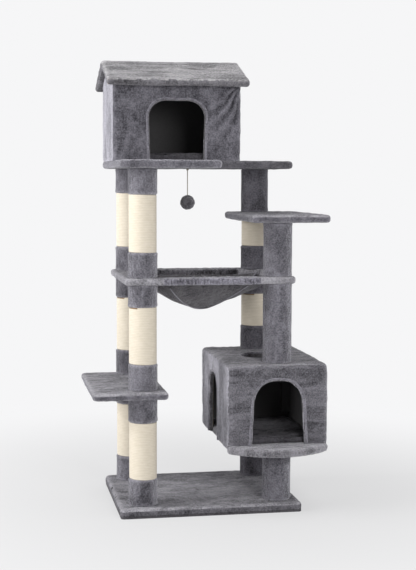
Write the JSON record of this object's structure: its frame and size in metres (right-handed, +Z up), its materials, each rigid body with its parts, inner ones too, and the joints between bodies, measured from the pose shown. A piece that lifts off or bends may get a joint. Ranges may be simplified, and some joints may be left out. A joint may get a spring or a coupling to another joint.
{
  "type": "cat tree",
  "caption": "Tall plush cat tree with a gabled house on top, a lower condo with a porch, a slung hammock, two shelves, sisal scratching posts and a hanging ball.",
  "frame": {"origin": "centre of the base's underside, on the floor", "axes": "+X to the right along the front, +Y to the back, +Z up"},
  "size_m": [0.778, 0.6279, 1.495],
  "materials": {
    "grey_plush": "short brushed polyester plush",
    "hammock_plush": "short brushed polyester plush",
    "sisal_rope": "twisted natural sisal rope",
    "black_lining": "matt non-woven",
    "underlay": "non-woven underlay",
    "cardboard_tube": "spiral-wound cardboard",
    "board": "raw particle board",
    "pine": "raw pine",
    "zinc_steel": "zinc plated",
    "toy_cord": "thin elastic cord"
  },
  "bodies": {
    "tree": {"base_board": "board", "base_bolts": "zinc_steel", "base_plush": "grey_plush", "base_underlay": "underlay", "base_washers": "zinc_steel", "condo_arch_pipings": "grey_plush", "condo_back_panel": "board", "condo_battens": "black_lining", "condo_bolts": "zinc_steel", "condo_floor_board": "board", "condo_floor_plush": "grey_plush", "condo_front_panel": "board", "condo_inner_mat": "grey_plush", "condo_left_panel": "board", "condo_lining": "black_lining", "condo_right_panel": "board", "condo_top_panel": "board", "condo_top_plush": "grey_plush", "condo_walls_plush": "grey_plush", "condo_washers": "zinc_steel", "hammock_bowl": "hammock_plush", "hammock_frame_board": "board", "hammock_frame_plush": "grey_plush", "hammock_hem": "grey_plush", "house_arch_piping": "grey_plush", "house_back_panel": "board", "house_battens": "black_lining", "house_front_panel": "board", "house_inner_mat": "grey_plush", "house_left_gable": "board", "house_lining": "black_lining", "house_right_gable": "board", "house_walls_plush": "grey_plush", "joint_studs": "zinc_steel", "left_shelf_board": "board", "left_shelf_plush": "grey_plush", "plush_sleeves_back_left": "grey_plush", "plush_sleeves_back_right": "grey_plush", "plush_sleeves_front_left": "grey_plush", "plush_sleeves_front_right": "grey_plush", "right_shelf_board": "board", "right_shelf_plush": "grey_plush", "roof_back_board": "board", "roof_front_board": "board", "roof_plush": "grey_plush", "sisal_back_left": "sisal_rope", "sisal_back_right": "sisal_rope", "sisal_front_left": "sisal_rope", "tee_nuts": "zinc_steel", "top_board": "board", "top_board_plush": "grey_plush", "toy_eyelet": "zinc_steel", "tube_end_plugs": "pine", "tubes_back_left": "cardboard_tube", "tubes_back_right": "cardboard_tube", "tubes_front_left": "cardboard_tube", "tubes_front_right": "cardboard_tube"},
    "toy_knot": {"toy_knot": "toy_cord"},
    "toy": {"toy_cord": "toy_cord", "toy_ball": "grey_plush"}
  },
  "joints": [
    {"name": "toy_swing_front_back", "type": "hinge", "parent": "tree", "child": "toy_knot", "pos_m": [-0.071, -0.166, 1.1267], "axis": [1, 0, 0], "range_deg": [-60, 60]},
    {"name": "toy_swing_sideways", "type": "hinge", "parent": "toy_knot", "child": "toy", "pos_m": [-0.071, -0.166, 1.1267], "axis": [0, 1, 0], "range_deg": [-60, 38]}
  ]
}
